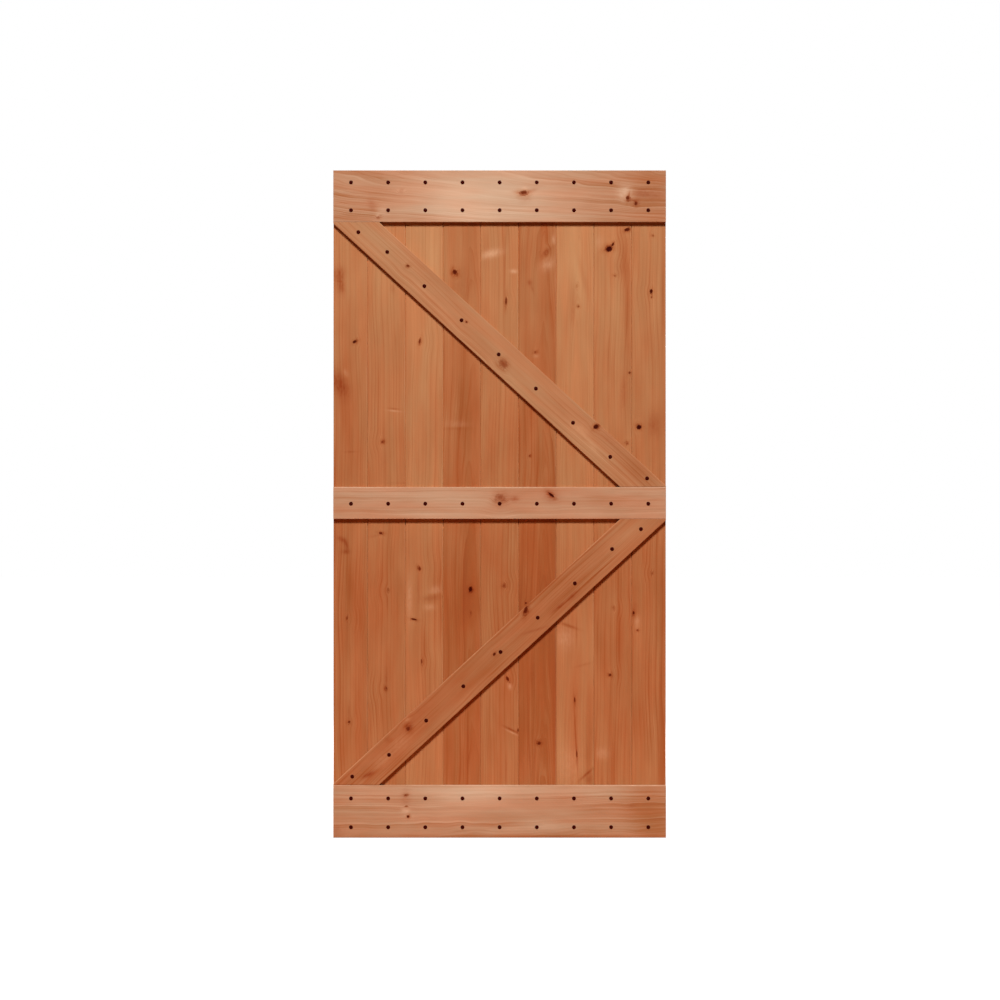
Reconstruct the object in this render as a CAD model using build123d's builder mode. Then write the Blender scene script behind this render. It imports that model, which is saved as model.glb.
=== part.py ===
"""Barn door slab with a K brace, made to hang from a track.

Tongue-and-groove planks stand side by side and make the whole back: as many full ones as fit, with the
outer two trimmed alike. Three rails and two braces lie on the front, and each is fixed to every plank
that it crosses by cut nails with forged heads.

Millimetres, +Z up, front towards -Y. The origin is in the middle of the bottom edge, half way
through the thickness of planks and boards. Left and right are as seen from the front.
"""
import os
from math import asin, atan2, ceil, hypot, tan

from build123d import *

# The whole slab
door_width = 1063.6
door_height = 2133.6
door_edge_ease = 1.0

# Planks
plank_cover = 120.65
plank_thickness = 19.05
plank_gap = 1.6
plank_bevel = 0.5
tongue_thickness = 6.35
tongue_length = 8.0
groove_side_clearance = 0.15
groove_end_clearance = 0.8

# Rails and braces
board_thickness = 15.875
board_ease = 1.2
top_rail_height = 165.0
mid_rail_height = 102.0
mid_rail_rise = 3.5
bottom_rail_height = 168.0
brace_width = 102.0
brace_heel = 4.0
brace_end_gap = 0.3

# Nails
nail_head_diameter = 12.5
nail_head_facets = 12
nail_head_rim = 0.9
nail_head_crown = 1.1
nail_crown_diameter = 5.0
nail_shank = 3.2
nail_length = 31.0
nail_point_length = 6.0
nail_point_width = 1.0
nail_side_clearance = 0.05
nail_tip_clearance = 0.5
cut_overrun = 1.0

# Places of the nails
nail_side_inset = 56.5
nail_row_drop = 2.2
rail_nail_outer_inset = 36.0
rail_nail_inner_inset = 40.0
brace_nail_shift = 2.9
brace_head_nail_inset = 80.0
brace_head_nail_drop = 32.0
brace_foot_nail_inset = 60.5
brace_foot_nail_rise = 27.5

# Levels and planes worked out from the sizes above
door_thickness = plank_thickness + board_thickness
door_edge = door_width / 2
plank_count = ceil(door_width / plank_cover)
plank_middle_y = (door_thickness - plank_thickness) / 2
plank_front = Plane.XZ.offset(plank_thickness - door_thickness / 2)
board_front = plank_front.offset(board_thickness)

top_rail_low = door_height - top_rail_height
mid_rail_middle = door_height / 2 + mid_rail_rise
mid_rail_low = mid_rail_middle - mid_rail_height / 2
mid_rail_high = mid_rail_middle + mid_rail_height / 2

nail_pitch = (door_width - 2 * nail_side_inset) / (plank_count - 1)
nail_columns = [nail_side_inset - door_edge + place * nail_pitch for place in range(plank_count)]
nail_hole = nail_shank + 2 * nail_side_clearance
nail_hole_depth = nail_length + nail_tip_clearance

os.makedirs("parts", exist_ok=True)


def save(builder, name):
    """Label a finished piece and write its file."""
    builder.part.label = name
    export_step(builder.part, f"parts/{name}.step")


def nail_row(level):
    """One nail in every plank, all at one height: the drop below the level that they are set out from."""
    return [(column, level - nail_row_drop) for column in nail_columns]


def brace_slope(low, high):
    """Rise over run of a brace whose tips fill two opposite corners of a field."""
    rise = high - low - 2 * brace_heel
    lean = atan2(rise, door_width) + asin(brace_width / hypot(rise, door_width))
    return tan(lean)


def brace_nails(low, high, head_side):
    """Nails of a brace: along its middle in the inner planks, a little towards its head, and one at each tip."""
    slope = brace_slope(low, high)
    middle_level = (low + high) / 2 - nail_row_drop
    shifted = [column + head_side * brace_nail_shift for column in nail_columns[1:-1]]
    middle = [(column, middle_level + head_side * slope * column) for column in shifted]
    head = (head_side * (door_edge - brace_head_nail_inset), high - brace_head_nail_drop)
    foot = (head_side * (brace_foot_nail_inset - door_edge), low + brace_foot_nail_rise)
    return [head, *middle, foot]


def brace_outline(low, high, head_side):
    """Corners of a brace: square-cut tips in two corners of the field, joined by two parallel edges."""
    reach = (high - low - brace_heel) / brace_slope(low, high)
    edge = head_side * door_edge
    head = [(edge, high - brace_heel), (edge, high), (head_side * reach - edge, high)]
    foot = [(-x, low + high - z) for x, z in head]
    return head + foot


# The field above the middle rail is braced from its top left corner, the one below from its top right
upper_field = (mid_rail_high + brace_end_gap, top_rail_low - brace_end_gap, -1)
lower_field = (bottom_rail_height + brace_end_gap, mid_rail_low - brace_end_gap, 1)

rails = {
    "top_rail": (top_rail_low, door_height),
    "mid_rail": (mid_rail_low, mid_rail_high),
    "bottom_rail": (0, bottom_rail_height),
}
braces = {"upper_brace": upper_field, "lower_brace": lower_field}
nails = {
    "top_rail": nail_row(door_height - rail_nail_outer_inset) + nail_row(top_rail_low + rail_nail_inner_inset),
    "mid_rail": nail_row(mid_rail_middle),
    "bottom_rail": nail_row(bottom_rail_height - rail_nail_inner_inset) + nail_row(rail_nail_outer_inset),
    "upper_brace": brace_nails(*upper_field),
    "lower_brace": brace_nails(*lower_field),
}
all_nails = [place for places in nails.values() for place in places]


# Planks, left to right: a groove in the left edge takes the tongue of the plank before
inner_reach = plank_cover * (plank_count - 2) / 2
inner_joints = [place * plank_cover - inner_reach for place in range(plank_count - 1)]
joints = [-door_edge, *inner_joints, door_edge]

for number in range(1, plank_count + 1):
    first = number == 1
    last = number == plank_count
    left = joints[number - 1] + (0 if first else plank_gap / 2)
    right = joints[number] - (0 if last else plank_gap / 2)
    reach = tongue_length + nail_hole
    plank_nails = [place for place in all_nails if left - reach < place[0] < right + reach]

    with BuildPart() as plank:
        with BuildSketch() as section:
            with Locations(((left + right) / 2, plank_middle_y)):
                Rectangle(right - left, plank_thickness)
            corners = section.vertices().group_by(Axis.X)
            chamfer(corners[0], door_edge_ease if first else plank_bevel)
            chamfer(corners[-1], door_edge_ease if last else plank_bevel)
            if not last:
                with Locations((right, plank_middle_y)):
                    Rectangle(tongue_length, tongue_thickness, align=(Align.MIN, Align.CENTER))
            if not first:
                groove_depth = tongue_length - plank_gap + groove_end_clearance
                groove_width = tongue_thickness + 2 * groove_side_clearance
                with Locations((left, plank_middle_y)):
                    Rectangle(groove_depth, groove_width, align=(Align.MIN, Align.CENTER), mode=Mode.SUBTRACT)
        extrude(amount=door_height)
        with BuildSketch(board_front):
            with Locations(*plank_nails):
                Rectangle(nail_hole, nail_hole)
        extrude(amount=-nail_hole_depth, mode=Mode.SUBTRACT)
    save(plank, f"plank_{number}")


# Rails and braces: flat boards on the planks, eased all round the front, with a hole for each nail
for name, places in nails.items():
    with BuildPart() as board:
        with BuildSketch(plank_front):
            if name in rails:
                low, high = rails[name]
                with Locations((0, (low + high) / 2)):
                    Rectangle(door_width, high - low)
            else:
                with BuildLine():
                    Polyline(*brace_outline(*braces[name]), close=True)
                make_face()
        extrude(amount=board_thickness)
        chamfer(board.faces().sort_by(Axis.Y)[0].edges(), board_ease)
        with BuildSketch(board_front.offset(cut_overrun)):
            with Locations(*places):
                Rectangle(nail_hole, nail_hole)
        extrude(amount=-board_thickness - 2 * cut_overrun, mode=Mode.SUBTRACT)
    save(board, name)


# One cut nail, point down: a faceted forged head that sits on the level zero and a square shank
with BuildPart() as nail:
    with BuildSketch():
        RegularPolygon(nail_head_diameter / 2, nail_head_facets)
    extrude(amount=nail_head_rim)
    with BuildSketch(Plane.XY.offset(nail_head_rim)):
        RegularPolygon(nail_head_diameter / 2, nail_head_facets)
    with BuildSketch(Plane.XY.offset(nail_head_rim + nail_head_crown)):
        RegularPolygon(nail_crown_diameter / 2, nail_head_facets)
    loft()
    with BuildSketch():
        Rectangle(nail_shank, nail_shank)
    extrude(amount=nail_point_length - nail_length)
    with BuildSketch(Plane.XY.offset(nail_point_length - nail_length)):
        Rectangle(nail_shank, nail_shank)
    with BuildSketch(Plane.XY.offset(-nail_length)):
        Rectangle(nail_point_width, nail_shank)
    loft()

# The nails of each board are one group of separate solids
for name, places in nails.items():
    with BuildPart(board_front) as group:
        with Locations(*places):
            add(nail.part)
    save(group, f"{name}_nails")
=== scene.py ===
# %% [markdown]
# # Dressing a barn door
# The door is a slab made to hang from a track: nine tongue-and-groove planks, three rails and two braces
# on their front, and nails with forged heads. The CAD model is loaded as a fixed frame. Each of its
# pieces then gets a finer surface in the same place, so nothing has to be fitted afterwards.

# %% Load the frame
import math

import bpy
import numpy as np
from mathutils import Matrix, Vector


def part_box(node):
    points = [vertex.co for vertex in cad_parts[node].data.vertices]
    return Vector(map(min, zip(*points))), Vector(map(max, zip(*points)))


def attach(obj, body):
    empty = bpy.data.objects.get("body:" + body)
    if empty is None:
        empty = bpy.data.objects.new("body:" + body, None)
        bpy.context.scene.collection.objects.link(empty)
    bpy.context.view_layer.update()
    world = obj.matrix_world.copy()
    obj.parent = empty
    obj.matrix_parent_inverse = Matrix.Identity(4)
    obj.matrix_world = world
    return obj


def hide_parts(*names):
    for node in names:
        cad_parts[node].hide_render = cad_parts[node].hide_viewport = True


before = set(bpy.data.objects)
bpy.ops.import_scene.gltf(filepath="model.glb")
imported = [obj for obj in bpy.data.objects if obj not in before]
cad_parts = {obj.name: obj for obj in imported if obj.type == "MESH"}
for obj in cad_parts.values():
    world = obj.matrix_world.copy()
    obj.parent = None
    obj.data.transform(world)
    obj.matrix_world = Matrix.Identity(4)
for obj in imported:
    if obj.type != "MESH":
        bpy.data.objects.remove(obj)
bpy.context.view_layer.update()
print("CAD nodes:", len(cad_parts))

# %% [markdown]
# The main levels are read from the boxes of the CAD nodes instead of being typed again. If the CAD
# changes, the dressing follows it.

# %% Levels of the door
mm = 0.001

top_rail_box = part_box("top_rail")
door_half = top_rail_box[1].x
door_top = top_rail_box[1].z
board_front = top_rail_box[0].y
plank_front = top_rail_box[1].y
plank_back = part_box("plank_1")[1].y
plank_count = sum(name.startswith("plank_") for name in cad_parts)
print("half width, top, planks:", round(door_half, 4), round(door_top, 4), plank_count)

# %% [markdown]
# ## Camera
# The photograph looks at the door squarely, through a long lens: the two sides are parallel and no edge
# of a board shows its thickness. A wide lens close by would show the edges, so the camera stands 12 m off.
# Its distance follows from the size of a pixel on the door.

# %% Camera in front of the door
photo_pixels = 1000
pixel_size = 3.1972 * mm
door_middle_pixel = 499.62
door_bottom_pixel = 837.73
lens = 135.0
sensor = 36.0

camera_data = bpy.data.cameras.new("camera")
camera_data.lens = lens
camera_data.sensor_width = sensor
camera = bpy.data.objects.new("camera", camera_data)
bpy.context.collection.objects.link(camera)
camera.location = (
    (photo_pixels / 2 - door_middle_pixel) * pixel_size,
    board_front - photo_pixels * pixel_size * lens / sensor,
    (door_bottom_pixel - photo_pixels / 2) * pixel_size,
)
camera.rotation_euler = (math.pi / 2, 0, 0)
bpy.context.scene.camera = camera
bpy.context.scene.view_settings.view_transform = "Standard"
print("camera at", [round(value, 3) for value in camera.location])

# %% [markdown]
# ## Helpers for node graphs
# A material is a graph of nodes. Added one by one, the nodes of a short sum fill many lines. So a value on
# its way through a graph gets a small class: it knows its tree, and every sum or product that is written
# with it adds the node for it. A few functions add the other kinds of nodes.

# %% Values in a node graph
class Flow:
    """The output of a node, which can be used in sums and products like a number."""

    def __init__(self, tree, socket):
        self.tree = tree
        self.socket = socket

    def maths(self, operation, *values):
        """The result of an arithmetic node that is fed with this value and others."""
        return flow(self.tree, "Math", dict(enumerate((self, *values))), operation=operation)

    def __add__(self, other):
        return self.maths("ADD", other)

    def __sub__(self, other):
        return self.maths("SUBTRACT", other)

    def __mul__(self, other):
        return self.maths("MULTIPLY", other)

    def __truediv__(self, other):
        return self.maths("DIVIDE", other)

    def __pow__(self, other):
        return self.maths("POWER", other)


def put_in(socket, value):
    """Join a value to a socket, or write a constant on it."""
    if isinstance(value, Flow):
        value.tree.links.new(value.socket, socket)
    else:
        socket.default_value = value


def node(tree, kind, sockets=None, **settings):
    """A new node of the given kind, with its settings and named sockets filled."""
    made = tree.nodes.new("ShaderNode" + kind)
    for key, value in settings.items():
        setattr(made, key, value)
    for key, value in (sockets or {}).items():
        put_in(made.inputs[key], value)
    return made


def flow(tree, kind, sockets=None, output=0, **settings):
    """One output of a new node, as a value."""
    return Flow(tree, node(tree, kind, sockets, **settings).outputs[output])


# %% Fades, colours and materials
# A mix node has sockets of the same names for numbers, vectors and colours, so these go by number.
mix_share = 0
mix_first = 6
mix_second = 7
mix_result = 2


def fade(value, start, end):
    """0 at start and 1 at end, with a smooth S between them. It runs downhill if end is below start."""
    sockets = {"Value": value, "From Min": start, "From Max": end}
    return flow(value.tree, "MapRange", sockets, interpolation_type="SMOOTHSTEP")


def blend(share, first, second, kind="MIX", clamp=True):
    """The first colour, passing into the second as the share goes from 0 to 1, or beyond them unclamped."""
    sockets = {mix_share: share, mix_first: first, mix_second: second}
    settings = {"data_type": "RGBA", "blend_type": kind, "clamp_factor": clamp}
    return flow(share.tree, "Mix", sockets, mix_result, **settings)


def colour(red, green, blue):
    """A colour written as it looks on screen, 0 to 255, turned into linear light."""
    value = np.array([red, green, blue]) / 255
    linear = np.where(value > 0.04045, ((value + 0.055) / 1.055) ** 2.4, value / 12.92)
    return (*linear.tolist(), 1.0)


def new_material(name):
    """An empty node material, its tree and the socket for its surface."""
    material = bpy.data.materials.new(name)
    material.use_nodes = True
    tree = material.node_tree
    tree.nodes.clear()
    return material, tree, node(tree, "OutputMaterial").inputs["Surface"]


# %% [markdown]
# ## Stage and light
# The photograph has one soft lamp high in front of the door, a little to the left: it draws a narrow
# shadow under every board. The background is plain white, but the shadows are a deep red brown, so little
# white light comes back from it. A plain white floor would wash them out. Here the floor and the world are
# white only to the rays that look at them, and warm and dark to stray light. Close to the door a warm sheet
# on the floor sends up some light from below. The other lamps stand behind the front of the door, so they
# don't touch it: one shows the back in other views, and two the edges.

# %% White world
white = (1, 1, 1, 1)
white_in_gloss = 0.45
stray_light = 0.062
stray_colour = (1, 0.31, 0.11, 1)


def seen_directly(tree):
    """1 for rays that look at the background, part of that for reflections, and 0 for stray light."""
    path = node(tree, "LightPath").outputs
    mirrored = Flow(tree, path["Is Glossy Ray"]) * white_in_gloss
    looks = mirrored.maths("MAXIMUM", Flow(tree, path["Is Camera Ray"]))
    return looks.maths("MAXIMUM", Flow(tree, path["Is Transmission Ray"]))


world = bpy.data.worlds.new("white_world")
bpy.context.scene.world = world
world.use_nodes = True
tree = world.node_tree
tree.nodes.clear()
seen = seen_directly(tree)
glow = {"Color": blend(seen, stray_colour, white), "Strength": seen.maths("MAXIMUM", stray_light)}
put_in(node(tree, "OutputWorld").inputs["Surface"], flow(tree, "Background", glow))
print("world:", world.name)

# %% Pale floor
floor_reach = 40.0
floor_drop = 0.5 * mm
sheet_colour = (0.6, 0.22, 0.07, 1)
floor_colour = (0.13, 0.05, 0.02, 1)
sheet_radius = 1.5
sheet_fade = 0.5
seen_colour = (0.36, 0.36, 0.36, 1)
glow_near = 0.8
glow_far = 1.0
glow_start = 2.0
glow_end = 6.0

floor_mesh = bpy.data.meshes.new("floor")
floor_corners = np.array([(-1, -1, 0), (1, -1, 0), (1, 1, 0), (-1, 1, 0)]) * floor_reach - (0, 0, floor_drop)
floor_mesh.from_pydata(floor_corners.tolist(), [], [(0, 1, 2, 3)])
floor = bpy.data.objects.new("floor", floor_mesh)
bpy.context.collection.objects.link(floor)

floor_material, tree, surface = new_material("pale_floor")
places = flow(tree, "TexCoord", output="Object")
distance = flow(tree, "VectorMath", {0: places}, "Value", operation="LENGTH")
seen = seen_directly(tree)
bounced = blend(fade(distance, sheet_radius, sheet_radius + sheet_fade), sheet_colour, floor_colour)
matt = flow(tree, "BsdfDiffuse", {"Color": blend(seen, bounced, seen_colour)})
glow = seen * (fade(distance, glow_start, glow_end) * (glow_far - glow_near) + glow_near)
shine = flow(tree, "Emission", {"Color": white, "Strength": glow})
put_in(surface, flow(tree, "AddShader", {0: matt, 1: shine}))
floor_mesh.materials.append(floor_material)

# %% Lamps
lamp_target = np.array([0, 0, door_top / 2])


def softbox(name, place, size, power):
    """A square lamp at a place, facing the middle of the door. Lamps shine along their own -Z."""
    data = bpy.data.lights.new(name, "AREA")
    data.size = size
    data.energy = power
    lamp = bpy.data.objects.new(name, data)
    bpy.context.collection.objects.link(lamp)
    lamp.location = place
    lamp.visible_camera = False
    away = lamp_target - np.array(place)
    tilt = math.atan2(math.hypot(away[0], away[1]), -away[2])
    lamp.rotation_euler = (tilt, 0, math.atan2(-away[0], away[1]))


softbox("key_lamp", place=(-1.1, -12.0, 12.1), size=3.4, power=2850)
softbox("back_lamp", place=(1.6, 5.2, 2.6), size=3.0, power=270)
for name, side in (("left_lamp", -1), ("right_lamp", 1)):
    softbox(name, place=(side * 6.5, 0.9, 2.2), size=1.5, power=130)
print("lamps and floor in place")

# %% [markdown]
# ## Knots and marks
# What tells one plank from the next is where its branches grew. Each board has its own short list, chosen
# from the photograph. A knot is an ellipse: x and z of its middle, its width and height in
# millimetres, its lean in degrees, and how dark its heart, how brown its rim and how pale the wood at its
# two ends is, from 0 to 1. A mark is a softer patch: the same five places and sizes, and how much lighter
# or darker it makes the wood. A short mark lies on the wood like a stain, and a long one changes its tone.

# %% Knots by board
knots = {}
knots["plank_1"] = [
    (-462, 1587, 17, 10, 25, 0.9, 0.5, 0.3),
    (-488, 700, 8, 22, 0, 0.35, 0.5, 0.3),
    (-483, 368, 11, 12, 0, 0.6, 0.5, 0.2),
]
knots["plank_2"] = [
    (-374, 1266, 14, 12, 20, 0.4, 0.7, 0.3),
    (-379, 974, 17, 9, -15, 0.7, 0.5, 0.5),
    (-357, 790, 10, 18, 0, 0.3, 0.5, 0.4),
    (-364, 476, 9, 13, 10, 0.45, 0.7, 0.3),
]
knots["plank_3"] = [
    (-255, 1586, 9, 24, -8, 0.6, 0.6, 0.9),
    (-258, 861, 11, 17, 10, 0.6, 0.6, 0.5),
    (-275, 697, 22, 7, -12, 0.85, 0.4, 0.5),
    (-249, 561, 7, 24, 0, 0.5, 0.5, 0.4),
]
knots["plank_4"] = [
    (-143, 1807, 17, 20, 20, 0.75, 0.9, 0.4),
    (-92, 792, 14, 19, 0, 0.95, 0.6, 0.2),
    (-92, 717, 6, 18, 0, 0.3, 0.4, 0.1),
]
knots["plank_5"] = [
    (20, 1712, 8, 34, -3, 0.6, 0.6, 0.3),
    (16, 806, 13, 16, 0, 0.3, 0.8, 0.2),
    (27, 505, 10, 20, 25, 0.7, 0.6, 0.4),
    (59, 342, 6, 14, -8, 0.6, 0.5, 0.3),
]
knots["plank_6"] = [
    (150, 1872, 17, 44, -38, 0.0, 0.2, 0.3),
    (116, 1553, 11, 10, 0, 0.35, 0.6, 0.5),
    (97, 1221, 8, 10, 0, 0.4, 0.5, 0.4),
    (85, 750, 7, 8, 0, 0.8, 0.5, 0.1),
    (125, 302, 14, 14, 0, 0.6, 0.8, 0.4),
]
knots["plank_7"] = [
    (251, 1700, 9, 10, 0, 0.5, 0.6, 0.3),
    (248, 1766, 7, 12, 0, 0.15, 0.5, 0.2),
    (241, 437, 5, 24, 4, 0.7, 0.4, 0.2),
    (248, 265, 6, 36, 4, 0.65, 0.4, 0.2),
]
knots["plank_8"] = [
    (350, 1886, 24, 20, 30, 1.0, 0.6, 0.4),
    (363, 1899, 8, 18, -35, 0.9, 0.4, 0.1),
    (411, 1945, 22, 12, 10, 0.85, 0.6, 0.4),
    (369, 1799, 10, 10, 0, 0.4, 0.6, 0.2),
    (416, 1486, 9, 10, 0, 0.6, 0.5, 0.3),
    (407, 1262, 12, 12, 20, 0.3, 0.6, 0.3),
    (352, 519, 12, 12, 0, 0.65, 0.6, 0.4),
    (366, 733, 9, 18, 10, 0.2, 0.5, 0.5),
]
knots["plank_9"] = [
    (486, 1746, 11, 17, -5, 0.95, 0.5, 0.2),
    (487, 1729, 7, 7, 0, 0.6, 0.5, 0.1),
    (445, 1315, 17, 17, 0, 1.0, 0.5, 0.3),
    (490, 1926, 10, 8, 0, 0.3, 0.6, 0.1),
    (429, 716, 8, 14, 0, 0.8, 0.6, 0.2),
    (442, 662, 10, 8, 0, 0.5, 0.5, 0.5),
    (488, 846, 8, 16, 0, 0.3, 0.5, 0.2),
]
knots["top_rail"] = [
    (77, 2061, 28, 16, 0, 0.6, 0.9, 0.3),
    (411, 2045, 15, 18, 20, 0.6, 0.8, 0.3),
    (437, 2028, 11, 14, 0, 0.6, 0.8, 0.1),
    (-386, 1985, 14, 11, 10, 0.3, 0.6, 0.3),
    (-314, 2068, 18, 10, 12, 0.0, 0.4, 0.5),
]
knots["mid_rail"] = [
    (1, 1085, 32, 26, 20, 0.2, 0.8, 0.3),
    (165, 1095, 24, 8, -38, 1.0, 0.8, 0.3),
]
knots["bottom_rail"] = [
    (-299, 136, 13, 7, 5, 0.5, 0.8, 0.3),
    (-298, 101, 11, 5, 0, 0.4, 0.7, 0.3),
    (-292, 68, 10, 9, 10, 0.85, 0.8, 0.5),
]
knots["upper_brace"] = [
    (-294, 1827, 14, 10, -10, 0.6, 0.6, 0.3),
    (-107, 1649, 10, 7, -20, 0.7, 0.5, 0.2),
    (11, 1514, 22, 30, 35, 0.15, 0.9, 0.3),
    (311, 1315, 20, 15, 25, 0.95, 0.7, 0.3),
]
knots["lower_brace"] = [
    (84, 724, 15, 30, -12, 0.65, 0.9, 0.2),
    (-16, 586, 9, 13, -20, 0.8, 0.5, 0.3),
    (-291, 351, 17, 20, -15, 0.5, 0.9, 0.4),
]
print("knots:", sum(len(rows) for rows in knots.values()))

# %% Marks by board
marks = {}
marks["plank_1"] = [
    (-513, 1803, 36, 44, -8, -0.8),
    (-508, 1763, 26, 44, 12, -0.8),
    (-514, 1780, 22, 4, -8, -0.4),
    (-513, 1452, 46, 92, 25, -1.0),
    (-494, 1484, 18, 34, 25, 0.3),
    (-490, 1320, 70, 420, 0, -0.17),
    (-476, 1234, 40, 5, 0, -0.45),
    (-506, 954, 28, 14, -30, -0.8),
    (-491, 936, 14, 40, 15, -0.8),
    (-493, 914, 24, 14, 0, -0.7),
    (-455, 965, 40, 160, 0, 0.2),
    (-480, 810, 24, 150, 0, -0.25),
    (-488, 660, 6, 110, 0, -0.3),
    (-482, 400, 8, 60, 0, -0.4),
]
marks["plank_2"] = [
    (-342, 1757, 16, 30, 8, -0.35),
    (-338, 1372, 36, 5, -6, -0.5),
    (-338, 1365, 36, 5, -6, 0.45),
    (-320, 1134, 70, 5, 0, -0.2),
    (-372, 1292, 5, 50, 0, -0.3),
    (-372, 1215, 30, 90, 0, -0.15),
    (-363, 508, 13, 70, 0, -0.4),
    (-398, 965, 40, 8, 10, -0.25),
    (-360, 760, 6, 40, 0, -0.3),
]
marks["plank_3"] = [
    (-215, 1850, 70, 240, 0, 0.15),
    (-207, 790, 40, 28, 15, 0.3),
    (-219, 766, 56, 20, 8, -0.5),
    (-225, 737, 34, 20, 0, 0.28),
    (-289, 762, 20, 120, 0, 0.28),
    (-260, 787, 12, 130, 0, -0.3),
    (-238, 590, 14, 200, 0, -0.2),
]
marks["plank_4"] = [
    (-125, 1770, 60, 140, 0, -0.25),
    (-95, 1250, 50, 420, 0, -0.15),
    (-139, 1322, 76, 24, 0, 0.14),
    (-145, 1308, 84, 8, 0, -0.22),
    (-95, 760, 50, 300, 0, -0.15),
    (-102, 330, 4, 240, 0, -0.35),
]
marks["plank_5"] = [
    (-28, 1868, 62, 24, 14, 0.75),
    (46, 1812, 22, 12, 0, 0.7),
    (17, 1840, 4, 240, -1, -0.3),
    (38, 344, 46, 7, -26, -1.1),
    (40, 336, 44, 6, -26, 0.45),
    (20, 214, 6, 90, 0, -0.5),
    (22, 600, 6, 300, 0, -0.12),
    (33, 484, 12, 20, 10, 0.45),
    (-2, 240, 110, 170, 0, 0.06),
]
marks["plank_6"] = [
    (150, 1873, 46, 14, 42, -0.6),
    (154, 1834, 46, 34, 40, 0.38),
    (173, 1912, 12, 30, 0, 0.4),
    (97, 1776, 15, 17, 20, -0.6),
    (104, 1757, 8, 32, 20, -0.4),
    (116, 1541, 18, 12, 0, 0.2),
    (150, 1700, 60, 300, 0, -0.12),
    (108, 516, 20, 120, 0, -0.3),
    (97, 250, 5, 120, 3, -0.5),
    (111, 250, 5, 110, -3, -0.45),
    (175, 400, 12, 500, 0, -0.25),
]
marks["plank_7"] = [
    (234, 1680, 14, 90, -4, -0.3),
    (228, 1720, 24, 260, -7, -0.2),
    (268, 1796, 18, 160, 14, -0.2),
    (254, 1840, 40, 160, 0, 0.2),
    (222, 677, 60, 8, -20, -0.8),
    (246, 655, 5, 90, 0, -0.4),
    (208, 637, 60, 70, 0, 0.3),
    (269, 552, 54, 8, 15, -0.3),
    (244, 310, 4, 260, 3, -0.5),
    (278, 202, 58, 8, 42, -0.9),
    (290, 186, 40, 40, 0, -0.45),
    (215, 231, 90, 120, 0, 0.2),
    (287, 302, 24, 400, 0, -0.25),
]
marks["plank_8"] = [
    (397, 1865, 30, 240, 5, -0.3),
    (408, 1669, 18, 220, 0, -0.3),
    (386, 1819, 36, 50, 25, -0.2),
    (328, 268, 40, 36, 0, 0.28),
    (396, 1430, 22, 110, -4, -0.35),
    (318, 1905, 30, 40, 0, 0.2),
    (348, 1560, 100, 320, 0, 0.07),
    (362, 231, 30, 300, 0, -0.25),
    (382, 640, 14, 300, 0, -0.2),
]
marks["plank_9"] = [
    (492, 1320, 42, 74, 0, -0.5),
    (440, 690, 16, 40, 0, 0.3),
    (433, 735, 18, 44, 0, -0.3),
    (522, 1794, 16, 600, 0, -0.3),
    (518, 330, 20, 800, 0, -0.3),
    (455, 280, 30, 300, 0, 0.04),
]
marks["top_rail"] = [
    (-50, 2040, 580, 260, 0, 0.55),
    (404, 2061, 50, 44, 0, 0.75),
    (478, 2058, 100, 40, -4, -0.45),
    (490, 2040, 150, 220, 0, -0.17),
    (-408, 2022, 24, 46, 14, -0.4),
    (-375, 2000, 50, 40, 30, 0.25),
    (-388, 1990, 13, 9, 0, 0.5),
    (-30, 1995, 110, 30, 0, 0.15),
    (78, 2076, 24, 13, 0, 1.0),
    (77, 2059, 36, 20, 0, -0.5),
    (412, 2050, 6, 34, -12, -0.8),
    (424, 2040, 28, 6, -28, -0.8),
    (437, 2030, 20, 20, 0, -0.5),
    (442, 2062, 50, 30, 0, -0.3),
    (104, 2070, 38, 12, 20, -0.45),
    (54, 2064, 30, 8, -8, -0.35),
    (84, 2036, 40, 20, 10, -0.3),
]
marks["mid_rail"] = [
    (-180, 1070, 300, 120, 0, 0.1),
    (175, 1096, 60, 34, -30, -0.2),
    (162, 1095, 44, 32, -30, -0.75),
    (48, 1084, 28, 20, 0, -0.7),
    (6, 1084, 48, 36, 15, -0.65),
    (0, 1030, 1000, 14, 0, 0.12),
]
marks["bottom_rail"] = [
    (-130, 120, 300, 90, 0, 0.27),
    (-40, 70, 900, 150, 0, 0.04),
    (0, 150, 760, 44, 0, 0.3),
    (-300, 126, 30, 66, 0, -0.4),
    (-300, 88, 28, 20, 0, 0.6),
    (490, 60, 170, 170, 0, -0.38),
    (-525, 20, 50, 44, 0, -0.35),
    (0, 3, 1100, 12, 0, -0.3),
    (426, 106, 36, 18, 20, -0.25),
    (140, 40, 160, 30, 0, 0.12),
]
marks["upper_brace"] = [
    (-420, 1920, 200, 120, -43, 0.12),
    (12, 1515, 28, 36, 35, -0.7),
    (256, 1304, 64, 34, -40, 0.35),
    (298, 1250, 70, 18, -50, 0.3),
    (350, 1275, 120, 40, -43, -0.25),
    (440, 1180, 220, 90, -43, -0.25),
]
marks["lower_brace"] = [
    (192, 739, 56, 10, 39, -0.95),
    (233, 773, 46, 14, 42, -0.85),
    (304, 837, 180, 5, 43, -0.45),
    (115, 664, 90, 8, 17, -0.45),
    (200, 770, 120, 30, 43, -0.12),
    (420, 970, 200, 90, 43, 0.2),
    (-160, 490, 220, 110, 43, -0.12),
    (-292, 377, 20, 18, 0, 0.4),
    (-320, 300, 84, 50, 40, 0.22),
    (-374, 247, 72, 40, 35, 0.2),
    (-419, 201, 40, 13, 25, -1.1),
    (-288, 362, 24, 44, -15, -0.35),
    (-357, 313, 20, 15, 0, -0.35),
    (-260, 400, 110, 30, 43, -0.15),
]
print("marks:", sum(len(rows) for rows in marks.values()))

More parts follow.
